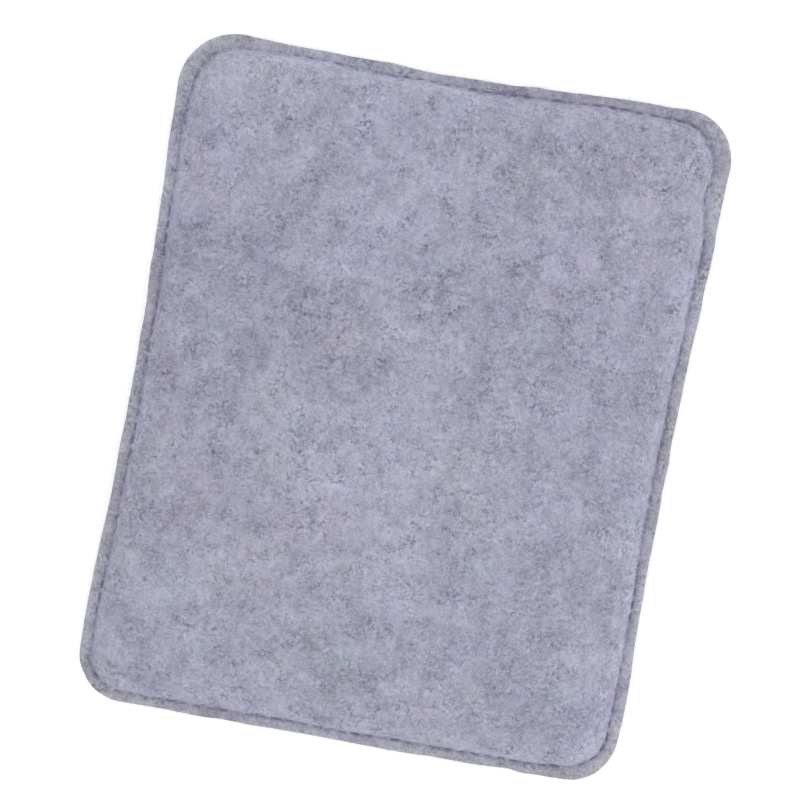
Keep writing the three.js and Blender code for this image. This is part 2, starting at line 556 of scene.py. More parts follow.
# The cloth that forms the cover, with its kilograms and newtons as Blender counts them
CLOTH_SETTINGS = {
    "quality": 6,
    "mass": 0.05,
    "tension_stiffness": 20,
    "compression_stiffness": 20,
    "shear_stiffness": 10,
    "bending_stiffness": 0.5,
    "vertex_group_mass": "held",
    "vertex_group_shrink": "loose",
    "shrink_min": 0,
    "shrink_max": -0.06,
    "use_pressure": True,
    "uniform_pressure_force": 20.0,
}
CLOTH_FRAMES = 20

# How strongly the filling holds the cloth, and the most that a point moves
FOAM_HOLD = 0.15
MOST_MOVE = 1.5 * MM


def wall_shares(cover, steps):
    """Shares of the way in and of the way up the rounded wall, from its foot to its level end.

    With angle a from wall_start s to a quarter turn: in = 1 - cos(a) / cos(s), and
    up = (sin(a) - sin(s)) / (1 - sin(s))."""
    low = cover.wall_start
    angle = np.linspace(low, math.pi / 2, steps)
    return 1 - np.cos(angle) / math.cos(low), (np.sin(angle) - math.sin(low)) / (1 - math.sin(low))


def cut_edge_rings(pad):
    """The upright cut edge, rounded over at the top, and the rim up to the groove, over the seam plane."""
    rings = []
    for share, part in zip(RIM_SHARES, RIM_ROUNDING, strict=True):
        past = (pad.seam_inset - pad.seam.groove_half) * share - pad.seam_inset
        rings.append(at_height(pad.rim(share), part * pad.rim_level(past)))
    return rings


def groove_rings(pad):
    """The sewn groove: a bell-shaped dip along each stitch that closes again at the needle holes, over a
    shorter way where the stitch lies open."""
    seam = pad.seam
    opened = pad.open_at(pad.stitch_phase)
    depth = BURIED_GROOVE + (1 - BURIED_GROOVE) * opened
    open_share = depth * (1 - HOLE_CLOSING * pad.hole_near) ** (3 - 2 * opened)
    rings = []
    for across in np.linspace(-1, 1, GROOVE_RINGS):
        bell = math.exp(-((across / GROOVE_BELL) ** 2))
        past = np.full(len(pad.stitch_line), across * seam.groove_half)
        rings.append(at_height(pad.body(past), pad.rim_level(past) - seam.groove * open_share * bell))
    return rings


def wall_rings(pad, start, foot, rise, crown, steps):
    """The wall from a start past the stitch line up to the top, which is the rise with the crown over it."""
    top = rise + crown(pad.body(pad.run))
    rings = []
    for inward, upward in zip(*wall_shares(pad.cover, steps), strict=True):
        past = start + inward * (pad.run - start)
        rings.append(at_height(pad.body(past), foot + upward * (top - foot)))
    return rings


def pinched(pad, rings):
    """A wall drawn in a little beside each needle hole, most at its foot."""
    fades = np.linspace(1, 0, len(rings)) ** 2
    pull = at_height(pad.out, 0.0) * (HOLE_PULL * pad.hole_near)[:, None]
    return [ring - fade * pull for ring, fade in zip(rings, fades, strict=True)]


def shoulder_to_middle(pad, ring, rise, crown, steps):
    """Coarse rings from the shoulder to the middle, on straight lines in plan and under the crown."""
    border = pad.middle_edge()
    rings = []
    for share in np.linspace(0, 1, steps + 1)[1:]:
        plan = ring[:, :2] + share * (border - ring[:, :2])
        rings.append(at_height(plan, rise + crown(plan)))
    return rings


def cloth_moves(skin, held, loose):
    """How far each point of a thin sheet moves when Blender's cloth presses it out from inside.

    The sewn points stay, and the filling holds the others with a weak spring. The sheet is cut a little too
    large where it is loose, so it buckles softly there."""
    scene = bpy.context.scene
    mesh = skin.mesh("draft")
    sheet = new_object("draft", mesh)
    for group, parts in (("held", held), ("loose", loose)):
        weights = sheet.vertex_groups.new(name=group)
        for numbers, weight in parts:
            weights.add(numbers.ravel().tolist(), weight, "REPLACE")
    cloth = sheet.modifiers.new("cloth", "CLOTH")
    for name, value in CLOTH_SETTINGS.items():
        setattr(cloth.settings, name, value)
    cloth.settings.effector_weights.gravity = 0
    cloth.collision_settings.use_collision = False
    for step in range(1, CLOTH_FRAMES + 1):
        scene.frame_set(step)
    formed = sheet.evaluated_get(bpy.context.evaluated_depsgraph_get()).data
    moves = read(formed.vertices, "co") - np.concatenate(skin.points)
    bpy.data.objects.remove(sheet)
    bpy.data.meshes.remove(mesh)
    scene.frame_set(1)
    reach = np.linalg.norm(moves, axis=1)[:, None]
    return moves * (MOST_MOVE / np.maximum(reach, MOST_MOVE))


def finer(moves, factor):
    """A closed ring of moves with more points: the same waves round the ring, read at closer steps."""
    return np.fft.irfft(np.fft.rfft(moves, axis=0), len(moves) * factor, axis=0) * factor


def swollen(pad, wall, across, middle):
    """The wall, the rings from it to the middle, and the middle, formed by the cloth."""
    skin = Skin()
    foot = at_height(pad.stitch_line, pad.cover.felt * RIM_SQUEEZE)
    rings = [ring[::COARSE] for ring in (foot, *wall)] + list(across)
    numbers = [skin.add(ring) for ring in rings]
    skin.join(numbers)
    grid = skin.fill(numbers[-1], middle)
    held = [(numbers[0], 1.0)] + [(part, FOAM_HOLD) for part in (*numbers[1:], grid)]
    excess = np.linspace(1, 0, len(numbers)) ** 2
    moves = cloth_moves(skin, held, list(zip(numbers, excess, strict=True)))
    first = len(wall) + 1
    wall = [ring + finer(moves[at], COARSE) for ring, at in zip(wall, numbers[1:first], strict=True)]
    across = [ring + moves[at] for ring, at in zip(across, numbers[first:], strict=True)]
    return wall, across, middle + moves[grid]


def pressed_flat(rings, height):
    """Rings or a grid of points, none higher than the face that they press against."""
    return [np.minimum(ring, (np.inf, np.inf, height)) for ring in rings]


def sheet_skin(pad, rise, crown, turned_over):
    """One cover sheet as a closed skin, described as the upper one and turned over for the lower one.

    Rings run from the cut edge over the rim, the groove and the wall to the middle, and back along the inner
    face. Fine rings carry the stitches, and every second point is dropped twice on the way in. The value of a
    ring says how much it belongs to the rim, and so how much of the rim's tint and painted light it takes."""
    felt = pad.cover.felt
    skin = Skin()
    sign = np.array([1, 1, -1 if turned_over else 1])

    def add(ring, coarse=1, rim=0.0):
        """One ring of the sheet."""
        return skin.add(ring[::coarse] * sign + SEAM_LIFT, rim)

    def add_rim(ring, share, coarse=1):
        """One ring of the rim, which curls more towards its cut edge."""
        curl = at_height(np.zeros_like(pad.edge), pad.curl * (1 - share) ** 2)
        return skin.add((ring * sign + SEAM_LIFT + curl)[::coarse], 1 - (1 - GROOVE_RIM) * share)

    wall = wall_rings(pad, pad.seam.groove_half, felt * RIM_SQUEEZE, rise, crown, WALL_RINGS)
    wall = pinched(pad, wall[1:])
    across = shoulder_to_middle(pad, wall[-1][::COARSE], rise, crown, ACROSS_RINGS)
    middle = pad.middle_grid()
    middle = at_height(middle, rise + crown(middle))
    inside = wall_rings(pad, pad.seam.groove_half + felt, 0.0, rise - felt, crown, INNER_WALL_RINGS)
    inside_across = shoulder_to_middle(pad, inside[-1][::COARSE], rise - felt, crown, INNER_ACROSS_RINGS)
    wall, across, middle = swollen(pad, wall, across, middle)
    if turned_over:
        wall, across, middle = (pressed_flat(part, rise) for part in (wall, across, middle))
    middle = np.asarray(middle)

    numbers = [add_rim(ring, share) for ring, share in zip(cut_edge_rings(pad), RIM_SHARES, strict=True)]
    fades = GROOVE_RIM * (1 - np.arange(GROOVE_RINGS) / GROOVE_RINGS)
    numbers += [add(ring, rim=fade) for ring, fade in zip(groove_rings(pad), fades, strict=True)]
    numbers += [add(ring) for ring in wall[:FULL_RINGS]]
    numbers += [add(ring, HALVED) for ring in wall[FULL_RINGS:HALVED_RINGS]]
    numbers += [add(ring, COARSE) for ring in wall[HALVED_RINGS:]]
    numbers += [add(ring) for ring in across]
    skin.join(numbers, turned_over)
    skin.fill(numbers[-1], middle * sign + SEAM_LIFT, turned_over)
    outer_count = skin.count

    half_way, groove_foot = (at_height(pad.rim(share), 0.0) for share in (0.5, 1.0))
    numbers = [numbers[0], add_rim(half_way, 0.5, HALVED)]
    numbers += [add(ring, COARSE) for ring in (groove_foot, *inside)]
    numbers += [add(ring) for ring in inside_across]
    skin.join(numbers, not turned_over)
    skin.fill(numbers[-1], (middle - (0, 0, felt)) * sign + SEAM_LIFT, not turned_over)
    return skin, outer_count


def relieve(mesh, outer_count, seed):
    """Small dents and swellings of needled felt: the outer points move along their normals by seeded waves,
    and none goes below the base."""
    points = read(mesh.vertices, "co")
    outer = np.arange(len(points)) < outer_count
    swell = np.where(outer, RELIEF * wave_field(points, RELIEF_WAVES, seed), 0)
    moved = points + swell[:, None] * read(mesh.vertices, "normal")
    moved[:, 2] = np.maximum(moved[:, 2], 0.0)
    mesh.vertices.foreach_set("co", moved.ravel())
    mesh.update()


def cut_size(pad, rise):
    """Width, length and area of a sheet before it was formed: longer than its plan by what its walls take up,
    and less than a rectangle by its four round corners."""
    cover = pad.cover
    inward, upward = wall_shares(cover, steps=60)
    run = np.array(cover.shoulder_run) - pad.seam.groove_half
    climb = rise - cover.felt * RIM_SQUEEZE
    slant = np.hypot(np.outer(run, np.diff(inward)), climb * np.diff(upward)).sum(axis=1)
    north, west, south, east = slant - run
    width = cover.width + west + east
    length = cover.length + north + south
    corners = (1 - math.pi / 4) * np.square(cover.corner_radius).sum()
    return (width, length), width * length - corners


class FELTINGPAD_OT_cover(bpy.types.Operator):
    """Cut, form and lay the two felt sheets"""

    bl_idname = "felting_pad.cover"
    bl_label = "Felt Cover"

    def execute(self, context):
        settings = context.scene.felting_pad
        pad = PadPlan(settings.cover, settings.seam)
        felt = felt_material(settings.look)
        rise = TOP_HIGH.z - SEAM_HEIGHT - settings.cover.crown
        sheets = (
            ("felt_sheet_top", "top_felt_panel", rise, pad.crown, False),
            ("felt_sheet_bottom", "bottom_felt_panel", SEAM_HEIGHT, pad.level, True),
        )
        for seed, (name, node, height, crown, turned_over) in enumerate(sheets):
            skin, outer_count = sheet_skin(pad, height, crown, turned_over)
            mesh = skin.mesh(name, "rim")
            relieve(mesh, outer_count, seed)
            sheet = place(name, mesh, felt, "felt")
            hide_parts(node)
            flat, area = cut_size(pad, height)
        return {"FINISHED"}


# Foam slab

FOAM_WALL_RINGS = 9
FOAM_ACROSS_RINGS = 5
FOAM_ROOM = 0.3 * MM


class FELTINGPAD_OT_foam(bpy.types.Operator):
    """Lay the foam slab inside the cover"""

    bl_idname = "felting_pad.foam"
    bl_label = "Foam Slab"

    def execute(self, context):
        settings = context.scene.felting_pad
        cover = settings.cover
        pad = PadPlan(cover, settings.seam)
        start = settings.seam.groove_half + cover.felt + FOAM_ROOM
        rise = TOP_HIGH.z - SEAM_HEIGHT - cover.crown - cover.felt - FOAM_ROOM
        drop = SEAM_HEIGHT - cover.felt - FOAM_ROOM
        middle = pad.middle_grid()
        skin = Skin()
        waist = skin.add(at_height(pad.body(start)[::COARSE], 0.0) + SEAM_LIFT)
        for size, crown, flip in ((rise, pad.crown, False), (-drop, pad.level, True)):
            wall = wall_rings(pad, start, 0.0, size, crown, FOAM_WALL_RINGS)
            rings = [ring[::COARSE] for ring in wall]
            rings += shoulder_to_middle(pad, rings[-1], size, crown, FOAM_ACROSS_RINGS)
            numbers = [waist] + [skin.add(ring + SEAM_LIFT) for ring in rings[1:]]
            skin.join(numbers, flip)
            skin.fill(numbers[-1], at_height(middle, size + crown(middle)) + SEAM_LIFT, flip)
        slab = place("foam_slab", skin.mesh("foam_slab"), foam_material(settings.look), "foam")
        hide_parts("foam_core")
        return {"FINISHED"}


# Seam threads

THREAD_SIDES = 12
STITCH_RINGS = 20
STRANDS = 3
STRAND_SWELL = 0.13
THREAD_LAY = 2.4 * MM

# How far the thread plunges at a needle hole and how near to it, and how much deeper a buried stitch lies
HOLE_PLUNGE = 0.9 * MM
PLUNGE_REACH = 0.6 * MM
BURIED_SINK = 0.25 * MM

# Where an open stitch lies: its share of the groove's depth, and its middle over that in thread diameters
THREAD_DEPTH = 0.75
THREAD_LIFT = 0.3


def round_path(tangent, upright, angle):
    """The ways out from a path, round it at each of its places: cos(angle) * aside + sin(angle) * up.

    Aside is square to the upright and the path, and up is square to aside and the path."""
    tangent = unit(tangent)
    aside = unit(np.cross(upright, tangent))
    up = np.cross(tangent, aside)
    return np.cos(angle)[:, None] * aside[..., None, :] + np.sin(angle)[:, None] * up[..., None, :]


def thread_path(pad, side):
    """The middle of one seam thread, flat over each stitch and plunging at its holes, and the distance along
    the stitch line."""
    seam = pad.seam
    rings = pad.stitch_count * STITCH_RINGS
    along = arc_length(pad.stitch_line)
    at = np.arange(rings) / rings * along[-1]
    closed = np.concatenate([pad.stitch_line, pad.stitch_line[:1]])
    plan = np.stack([np.interp(at, along, closed[:, axis]) for axis in range(2)], axis=1)
    phase = np.arange(rings) / STITCH_RINGS
    share = phase % 1
    from_hole = np.minimum(share, 1 - share) * seam.stitch
    plunge = HOLE_PLUNGE * np.exp(-((from_hole / PLUNGE_REACH) ** 2))
    sunk = BURIED_SINK * (1 - pad.open_at(phase))
    floor = pad.cover.felt * RIM_SQUEEZE - THREAD_DEPTH * seam.groove
    height = floor + THREAD_LIFT * seam.thread - plunge - sunk
    return at_height(plan, SEAM_HEIGHT + side * height), at


def thread_skin(path, at, thread):
    """A closed loop of three twisted strands carried along a path.

    Round the path the radius is radius * (1 - swell + swell * cos(strands * (angle - twist))), and the twist
    makes one turn for each lay of the thread."""
    tangent = np.roll(path, -1, axis=0) - np.roll(path, 1, axis=0)
    angle = np.arange(THREAD_SIDES) / THREAD_SIDES * 2 * math.pi
    twist = 2 * math.pi * np.round(at[-1] / THREAD_LAY) * at / at[-1]
    swell = STRAND_SWELL * np.cos(STRANDS * (angle[None] - twist[:, None]))
    radius = thread / 2 * (1 - STRAND_SWELL + swell)
    ring = radius[..., None] * round_path(tangent, (0, 0, 1), angle)
    skin = Skin()
    numbers = skin.add(path[:, None] + ring).reshape(len(path), THREAD_SIDES)
    ahead = np.roll(numbers, -1, axis=0)
    faces = np.stack([numbers, ahead, np.roll(ahead, -1, axis=1), np.roll(numbers, -1, axis=1)], axis=-1)
    skin.quads.append(skin.turned(faces.reshape(-1, 4), True))
    return skin


class FELTINGPAD_OT_seam(bpy.types.Operator):
    """Stitch the needle thread and the bobbin thread round the rim"""

    bl_idname = "felting_pad.seam"
    bl_label = "Seam Threads"

    def execute(self, context):
        settings = context.scene.felting_pad
        pad = PadPlan(settings.cover, settings.seam)
        thread = thread_material(settings.look)
        threads = (("stitches_top", "needle_thread", 1), ("stitches_bottom", "bobbin_thread", -1))
        for name, node, side in threads:
            path, at = thread_path(pad, side)
            skin = thread_skin(path, at, settings.seam.thread)
            stitches = place(name, skin.mesh(name), thread, "thread")
            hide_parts(node)
        return {"FINISHED"}


# Loose fibres

FIBRE_SEED = 11
FIBRE_RINGS = 6
FIBRE_SIDES = 3
FIBRE_RADIUS = 0.028 * MM
FIBRE_TAPER = 0.7

# Shortest and longest, lowest and highest, how bent, and the two shapes of the spread from dark to pale
FACE_FIBRE = {
    "length": (2 * MM, 5.5 * MM),
    "lift": (0.1 * MM, 0.35 * MM),
    "bend": 0.45,
    "tones": (0.6, 0.45),
}
RIM_FIBRE = {
    "length": (0.5 * MM, 1.7 * MM),
    "lift": (-0.1 * MM, 0.1 * MM),
    "bend": 0.6,
    "tones": (0.9, 0.45),
}

# What counts as the upper face: how upright its normal is, and its height over the seam
FACE_UPRIGHT = 0.6
FACE_HEIGHT = 4 * MM

# How much of the cut edge's height has fibres, and how far these stray from straight out
EDGE_SPAN = 0.9
RIM_SCATTER = 0.7

# Empty border of each fibre's cell in the texture map, as a share of the cell
CELL_BORDER = 0.1


def fibre_paths(draw, roots, headings, normals, kind):
    """Middle lines of loose fibres, with t from 0 to 1 along each.

    A fibre runs root + size * (t * heading + turn * t ** 2 * aside) + rise * sin(pi * t) * normal, with its
    size, turn and rise drawn within the limits of its kind."""
    share = np.linspace(0, 1, FIBRE_RINGS)
    size = draw.uniform(*kind["length"], len(roots))
    turn = draw.uniform(-kind["bend"], kind["bend"], len(roots))
    rise = draw.uniform(*kind["lift"], len(roots))
    asides = np.cross(normals, headings)
    ahead = (size[:, None] * share)[..., None] * headings[:, None]
    sideways = ((size * turn)[:, None] * share**2)[..., None] * asides[:, None]
    upward = (rise[:, None] * np.sin(math.pi * share))[..., None] * normals[:, None]
    return roots[:, None] + ahead + sideways + upward


def fibre_mesh(name, draw, roots, headings, normals, kind):
    """Loose fibres of one kind: thin tubes with closed ends that taper as 1 - taper * (2 * t - 1) ** 2.

    Each has its tone, from dark to pale, and its own cell of the texture map."""
    paths = fibre_paths(draw, roots, headings, normals, kind)
    tones = draw.beta(*kind["tones"], len(roots))
    share = np.linspace(0, 1, FIBRE_RINGS)
    radius = FIBRE_RADIUS * (1 - FIBRE_TAPER * (2 * share - 1) ** 2)
    angle = np.arange(FIBRE_SIDES) / FIBRE_SIDES * 2 * math.pi
    ring = round_path(np.gradient(paths, axis=1), normals[:, None], angle)
    points = paths[:, :, None] + radius[:, None, None] * ring
    skin = Skin()
    numbers = skin.add(points, np.repeat(tones, FIBRE_RINGS * FIBRE_SIDES)).reshape(points.shape[:3])
    beside = np.roll(numbers, -1, axis=2)
    quads = np.stack([numbers[:, :-1], beside[:, :-1], beside[:, 1:], numbers[:, 1:]], axis=-1)
    skin.quads.append(quads.reshape(-1, 4))
    skin.triangles += [numbers[:, 0, ::-1], numbers[:, -1]]
    mesh = skin.mesh(name, "tone")

    cells = math.ceil(math.sqrt(len(paths)))
    column, row = np.divmod(np.arange(len(paths)), cells)
    room = 1 - 2 * CELL_BORDER
    across = column[:, None, None] + CELL_BORDER + room * share[:, None]
    down = row[:, None, None] + CELL_BORDER + room * np.arange(FIBRE_SIDES) / FIBRE_SIDES
    both = [np.broadcast_to(part, numbers.shape) for part in (across, down)]
    places = np.stack(both, axis=-1).reshape(-1, 2) / cells
    corners = np.empty(len(mesh.loops), int)
    mesh.loops.foreach_get("vertex_index", corners)
    mesh.uv_layers.new(name="OFBake").uv.foreach_set("vector", places[corners].ravel())
    return mesh


def face_fibre_roots(draw, sheet, count):
    """Seeded places on the upper face of the body, as likely on each part as its area, and the normals."""
    faces = sheet.data.polygons
    centres = read(faces, "center")
    normals = read(faces, "normal")
    areas = read(faces, "area", 1)[:, 0]
    areas *= (normals[:, 2] > FACE_UPRIGHT) & (centres[:, 2] > SEAM_HEIGHT + FACE_HEIGHT)
    picks = draw.choice(len(areas), count, p=areas / areas.sum())
    return centres[picks], normals[picks]


def rim_fibre_roots(draw, pad, count):
    """Seeded places on the two sheets' cut edges, and the way out there."""
    picks = draw.integers(0, len(pad.edge), count)
    span = draw.uniform(-EDGE_SPAN, EDGE_SPAN, count) * pad.cover.felt
    heights = SEAM_HEIGHT + pad.curl[picks] + span
    return at_height(pad.rim(0)[picks], heights), at_height(pad.out[picks], 0.0)


class FELTINGPAD_OT_fibres(bpy.types.Operator):
    """Scatter the loose fibres that stand off the felt and its cut edges"""

    bl_idname = "felting_pad.fibres"
    bl_label = "Loose Fibres"

    def execute(self, context):
        settings = context.scene.felting_pad
        look = settings.look
        draw = np.random.default_rng(FIBRE_SEED)
        roots, normals = face_fibre_roots(draw, bpy.data.objects["felt_sheet_top"], look.fibre_count)
        headings = unit(np.cross(normals, draw.normal(size=normals.shape)))
        lying = fibre_mesh("loose_fibres", draw, roots, headings, normals, FACE_FIBRE)

        pad = PadPlan(settings.cover, settings.seam)
        roots, ways = rim_fibre_roots(draw, pad, look.rim_fibre_count)
        headings = unit(ways + RIM_SCATTER * draw.normal(size=ways.shape))
        uprights = unit(np.cross(headings, np.cross((0, 0, 1), ways)))
        edge = fibre_mesh("rim_fibres", draw, roots, headings, uprights, RIM_FIBRE)

        fibre = fibre_material(look)
        for mesh in (lying, edge):
            place(mesh.name, mesh, fibre, "felt")
        return {"FINISHED"}


# Materials


class Wiring:
    """Adds nodes to one tree and joins them."""

    def __init__(self, tree):
        self.tree = tree

    def add(self, kind, settings=None, **sockets):
        """A node with its settings, and its sockets set to values or joined to other nodes' outputs."""
        node = self.tree.nodes.new(kind)
        for name, value in (settings or {}).items():
            setattr(node, name, value)
        for name, value in sockets.items():
            self.join(node.inputs[name.replace("_", " ")], value)
        return node

    def join(self, socket, value):
        """Links a socket to another node's output, or sets it to a value."""
        if isinstance(value, bpy.types.NodeSocket):
            self.tree.links.new(value, socket)
        else:
            socket.default_value = value

    def math(self, operation, *values, kind="ShaderNodeMath"):
        """The result of a Math node."""
        node = self.add(kind, {"operation": operation})
        for socket, value in zip(node.inputs, values, strict=False):
            self.join(socket, value)
        return node.outputs[0]

    def vector_math(self, operation, *values):
        """The result of a Vector Math node."""
        return self.math(operation, *values, kind="ShaderNodeVectorMath")

    def off_middle(self, noise):
        """How far a noise is from its middle value, a half."""
        return self.math("SUBTRACT", noise, 0.5)

    def spot(self):
        """The place on the piece, in metres."""
        return self.add("ShaderNodeTexCoord").outputs["Object"]

    def attribute(self, name):
        """The value that the mesh has under a name."""
        return self.add("ShaderNodeAttribute", {"attribute_name": name}).outputs["Fac"]

    def noise(self, vector, scale, detail=2.0, roughness=0.5):
        """A noise value from 0 to 1 that is about a half on average."""
        noise = self.add("ShaderNodeTexNoise", Vector=vector, Scale=scale, Detail=detail, Roughness=roughness)
        return noise.outputs["Fac"]

    def shifted(self, vector, shift):
        """A place moved far away, so that a noise read there has nothing to do with one read here."""
        return self.vector_math("ADD", vector, (shift, 2 * shift, 3 * shift))

    def ramp(self, value, low, high):
        """0 below low, 1 above high and smooth between."""
        smooth = {"interpolation_type": "SMOOTHSTEP"}
        node = self.add("ShaderNodeMapRange", smooth, Value=value, From_Min=low, From_Max=high)
        return node.outputs["Result"]

    def blend(self, amount, first, second, kind="MIX"):
        """Two colours mixed by an amount."""
        node = self.add("ShaderNodeMix", {"data_type": "RGBA", "blend_type": kind})
        for name, value in (("Factor", amount), ("A", first), ("B", second)):
            self.join(node.inputs[name], value)
        return node.outputs["Result"]

    def shaded(self, colour, amount):
        """A colour made darker or lighter by an amount that varies."""
        node = self.add("ShaderNodeVectorMath", {"operation": "SCALE"}, Scale=amount)
        node.inputs[0].default_value = colour[:3]
        return node.outputs[0]

    def bump(self, height, strength, distance):
        """Normals of a surface with a fine relief."""
        bump = self.add("ShaderNodeBump", Strength=strength, Distance=distance, Height=height)
        return bump.outputs["Normal"]


def new_group(name, inputs, outputs):
    """An empty shader node group with named sockets, and its wiring, input and output nodes."""
    group = bpy.data.node_groups.new(name, "ShaderNodeTree")
    for socket, kind, value in inputs:
        made = group.interface.new_socket(socket, in_out="INPUT", socket_type=kind)
        if value is not None:
            made.default_value = value
    for socket, kind in outputs:
        group.interface.new_socket(socket, in_out="OUTPUT", socket_type=kind)
    wiring = Wiring(group)
    return group, wiring, wiring.add("NodeGroupInput").outputs, wiring.add("NodeGroupOutput").inputs


# Melange felt: how far its fibres are bent aside, in metres, and how strongly each of its parts shows
FIBRE_BEND = 0.0022
SPOT_SHARE = 0.8
DARK_IN_BLOTCHES = 0.36
DARK_IN_CLUSTERS = 0.58
DARK_ANYWHERE = 0.11
PALE_SHARE = 0.36
GRAIN_IN_CLUSTERS = 0.8
GRAIN_ANYWHERE = 0.5
BLOTCH_SHADE = -0.1
DEEP_SHADE = (0.0, 0.0, 0.03, 1)

# Two tints that the felt varies between, from pinkish to greenish and from yellowish to bluish
PINK_TINTS = ((1.1, 0.92, 1.0, 1), (0.9, 1.08, 1.0, 1))
BLUE_TINTS = ((1.072, 1.072, 0.883, 1), (0.928, 0.928, 1.117, 1))

# How rough the felt is, and how high its grain and its fibres stand
FELT_ROUGHNESS = 0.86
GRAIN_ROUGHNESS = 0.12
GRAIN_HEIGHT = 0.8
PALE_HEIGHT = 0.5
DARK_HEIGHT = 0.35


def fibre_strokes(w, place, shift, scale, width, gate):
    """Short bent fibres: thin lines along which a noise passes its middle, broken up by a second noise."""
    break_scale, gate_width = 1.1, 0.1
    moved = w.shifted(place, shift)
    line = w.math("ABSOLUTE", w.off_middle(w.noise(moved, scale, detail=1.0)))
    broken = w.ramp(w.noise(moved, scale * break_scale, detail=0.0), gate, gate + gate_width)
    return w.math("MULTIPLY", w.ramp(line, width, 0.0), broken)


def melange_group():
    """Needled melange felt: a grainy grey with clustered dark fibres, scattered pale ones and faint tints."""
    colour, value, vector = "NodeSocketColor", "NodeSocketFloat", "NodeSocketVector"
    inputs = [
        ("Vector", vector, None),
        ("Felt", colour, None),
        ("Dark fibre", colour, None),
        ("Pale fibre", colour, None),
        ("Grain", value, 1.04),
        ("Cloud", value, 2.0),
        ("Broad", value, 0.45),
        ("Tint", value, 1.0),
    ]
    outputs = [("Color", colour), ("Roughness", value), ("Height", value)]
    group, w, given, made = new_group("Melange felt", inputs, outputs)
    spot = given["Vector"]

    drift = w.add("ShaderNodeTexNoise", Vector=spot, Scale=300.0, Detail=2.0).outputs["Color"]
    drift = w.vector_math("SUBTRACT", drift, (0.5, 0.5, 0.5))
    bent = w.vector_math("MULTIPLY_ADD", drift, (FIBRE_BEND, FIBRE_BEND, FIBRE_BEND), spot)
    long_dark = fibre_strokes(w, bent, shift=0.1, scale=420.0, width=0.07, gate=0.5)
    short_dark = fibre_strokes(w, bent, shift=0.2, scale=640.0, width=0.1, gate=0.53)
    pale_line = fibre_strokes(w, bent, shift=0.3, scale=560.0, width=0.09, gate=0.52)
    spots = w.ramp(w.noise(bent, scale=560.0, detail=2.0, roughness=0.6), low=0.55, high=0.7)
    dark_line = w.math("MAXIMUM", long_dark, short_dark)
    dark_line = w.math("MAXIMUM", dark_line, w.math("MULTIPLY", spots, SPOT_SHARE))

    cluster = w.ramp(w.noise(spot, scale=120.0, detail=5.0, roughness=0.8), low=0.45, high=0.68)
    blotch_noise = w.noise(w.shifted(spot, 0.4), scale=75.0, detail=3.0, roughness=0.6)
    blotch = w.ramp(blotch_noise, low=0.57, high=0.7)
    gathered = w.math("MULTIPLY_ADD", cluster, DARK_IN_CLUSTERS, DARK_ANYWHERE)
    gathered = w.math("MULTIPLY_ADD", blotch, DARK_IN_BLOTCHES, gathered)
    dark = w.math("MULTIPLY", dark_line, gathered)
    pale = w.math("MULTIPLY", pale_line, PALE_SHARE)

    fine = w.noise(bent, scale=760.0, detail=2.0, roughness=0.65)
    cloud = w.noise(spot, scale=55.0, detail=6.0, roughness=1.0)
    broad = w.noise(w.shifted(spot, 0.5), scale=15.0, detail=2.0, roughness=0.7)
    patchy = w.math("MULTIPLY_ADD", cluster, GRAIN_IN_CLUSTERS, GRAIN_ANYWHERE)
    patchy = w.math("MULTIPLY", given["Grain"], patchy)
    shade = w.math("MULTIPLY_ADD", w.off_middle(fine), patchy, 1.0)
    shade = w.math("MULTIPLY_ADD", w.off_middle(cloud), given["Cloud"], shade)
    shade = w.math("MULTIPLY_ADD", w.off_middle(broad), given["Broad"], shade)
    shade = w.math("MULTIPLY_ADD", blotch, BLOTCH_SHADE, shade)
    tone = w.blend(shade, DEEP_SHADE, given["Felt"])
    tone.node.clamp_factor = False

    pink_noise = w.noise(w.shifted(spot, 0.6), scale=22.0, detail=5.0, roughness=0.95)
    blue_noise = w.noise(w.shifted(spot, 0.7), scale=21.0, detail=5.0, roughness=0.95)
    tinted = w.blend(given["Tint"], tone, w.blend(pink_noise, *PINK_TINTS), "MULTIPLY")
    tinted = w.blend(given["Tint"], tinted, w.blend(blue_noise, *BLUE_TINTS), "MULTIPLY")
    with_dark = w.blend(dark, tinted, given["Dark fibre"])
    w.join(made["Color"], w.blend(pale, with_dark, given["Pale fibre"]))
    w.join(made["Roughness"], w.math("MULTIPLY_ADD", fine, GRAIN_ROUGHNESS, FELT_ROUGHNESS))
    raised = w.math("MULTIPLY", dark_line, DARK_HEIGHT)
    raised = w.math("MULTIPLY_ADD", pale_line, PALE_HEIGHT, raised)
    w.join(made["Height"], w.math("MULTIPLY_ADD", fine, GRAIN_HEIGHT, raised))
    return group


def empty_wiring(owner):
    """The wiring of a material or a world that has no nodes yet."""
    owner.use_nodes = True
    owner.node_tree.nodes.clear()
    return Wiring(owner.node_tree)


def new_material(name, **constants):
    """A material with its wiring and its Principled shader, which has the given constants."""
    material = bpy.data.materials.new(name)
    wiring = empty_wiring(material)
    shader = wiring.add("ShaderNodeBsdfPrincipled", **constants)
    wiring.add("ShaderNodeOutputMaterial", Surface=shader.outputs["BSDF"])
    return material, wiring, shader.inputs


# The felt's colour at the rim: a less blue tint that the felt has there, and a paleness that is partly its
# own and partly painted light that lifts the shade falling on the rim
RIM_TINT_AND_LIGHT = (1.108, 1.096, 1.002, 1.0)


